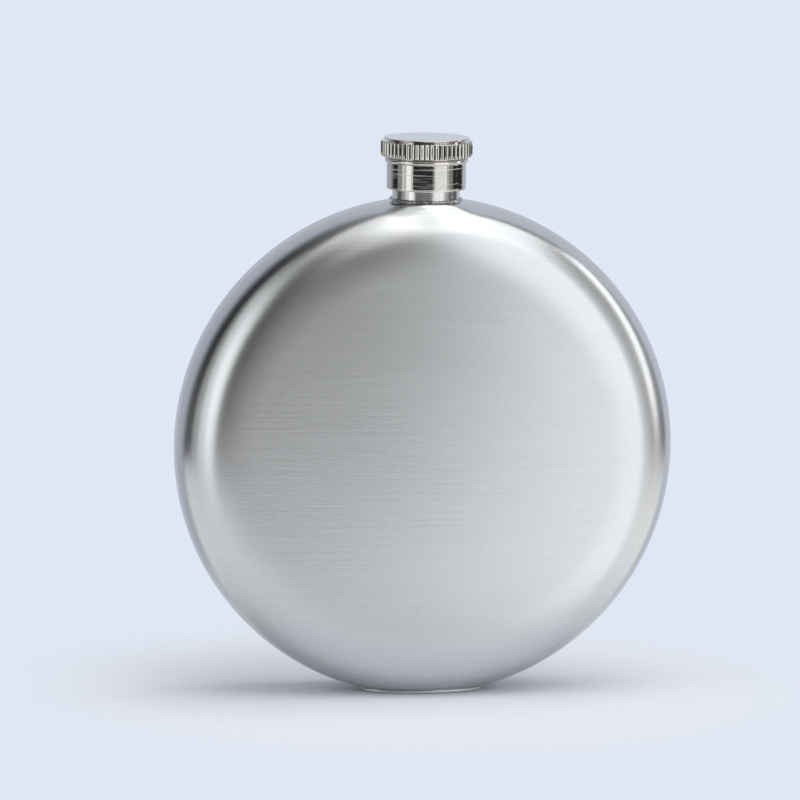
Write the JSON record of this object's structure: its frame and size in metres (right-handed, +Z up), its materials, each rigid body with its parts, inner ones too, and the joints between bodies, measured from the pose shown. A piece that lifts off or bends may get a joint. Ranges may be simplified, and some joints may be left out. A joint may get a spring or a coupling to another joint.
{
  "type": "round hip flask",
  "caption": "Round brushed-steel pocket flask for wine or spirits, made of drawn half shells with a flat foot, a threaded neck and a fluted screw cap that unscrews and lifts off.",
  "frame": {"origin": "centre of the underside of the foot plate, on the surface that the flask stands on", "axes": "+Z up along the neck, +Y from the front face to the rear face, +X to the right seen from the front"},
  "size_m": [0.098, 0.028, 0.1093],
  "materials": {
    "brushed_shell": "satin, brushed along X",
    "foot_plate": "satin",
    "polished_neck": "turned and polished",
    "weld_bead": "as welded",
    "polished_cap": "turned and polished, with fine turning lines",
    "thread_insert": "moulded",
    "seal": "silicone, matt"
  },
  "bodies": {
    "flask": {"front_shell": "brushed_shell", "rear_shell": "brushed_shell", "foot_plate": "foot_plate", "neck": "polished_neck", "neck_weld": "weld_bead"},
    "seal": {"cap_seal": "seal"},
    "cap": {"cap_shell": "polished_cap", "cap_thread_insert": "thread_insert"}
  },
  "joints": [
    {"name": "cap_rise", "type": "slide", "parent": "flask", "child": "seal", "axis": [0, 0, 1], "range_m": [0, 0.0121]},
    {"name": "cap_turn", "type": "hinge", "parent": "seal", "child": "cap", "pos_m": [0, 0, 0.1069], "axis": [0, 0, 1], "range_deg": [0, 2160]}
  ],
  "couplings": [
    {"joint": "cap_rise", "follows": "cap_turn", "m_per_rad": 0.00031831}
  ]
}
